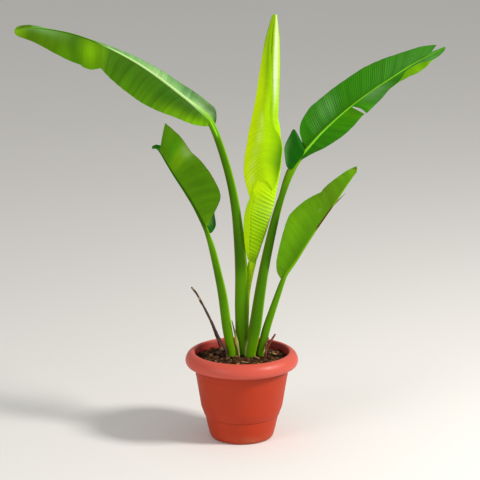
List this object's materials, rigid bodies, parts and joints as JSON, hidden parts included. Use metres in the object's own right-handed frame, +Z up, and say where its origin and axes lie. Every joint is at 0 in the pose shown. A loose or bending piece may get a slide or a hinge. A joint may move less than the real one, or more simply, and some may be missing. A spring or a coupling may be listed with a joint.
{
  "type": "potted travelers palm",
  "caption": "Young travelers palm with long pleated paddle leaves fanning from one base, in a rolled-rim terracotta-coloured plastic pot of bark soil.",
  "frame": {"origin": "centre of the pot's base, on the surface it stands on", "axes": "+Z up; the leaves fan out along X; -Y is the front"},
  "size_m": [0.9418, 0.254, 0.964],
  "materials": {
    "pot_plastic": "satin",
    "potting_soil": "matte",
    "leaf_green": "satin",
    "leaf_young": "satin",
    "dry_brown": "matte",
    "dry_tan": "matte"
  },
  "bodies": {
    "root": {"pot": "pot_plastic", "soil": "potting_soil", "leaf_left_tall": "leaf_green", "leaf_right_tall": "leaf_green", "leaf_left_low": "leaf_green", "leaf_right_low": "leaf_green", "leaf_centre_young": "leaf_young", "dry_stalk": "dry_brown", "dry_stub": "dry_brown", "dry_sheath": "dry_tan"}
  },
  "joints": []
}
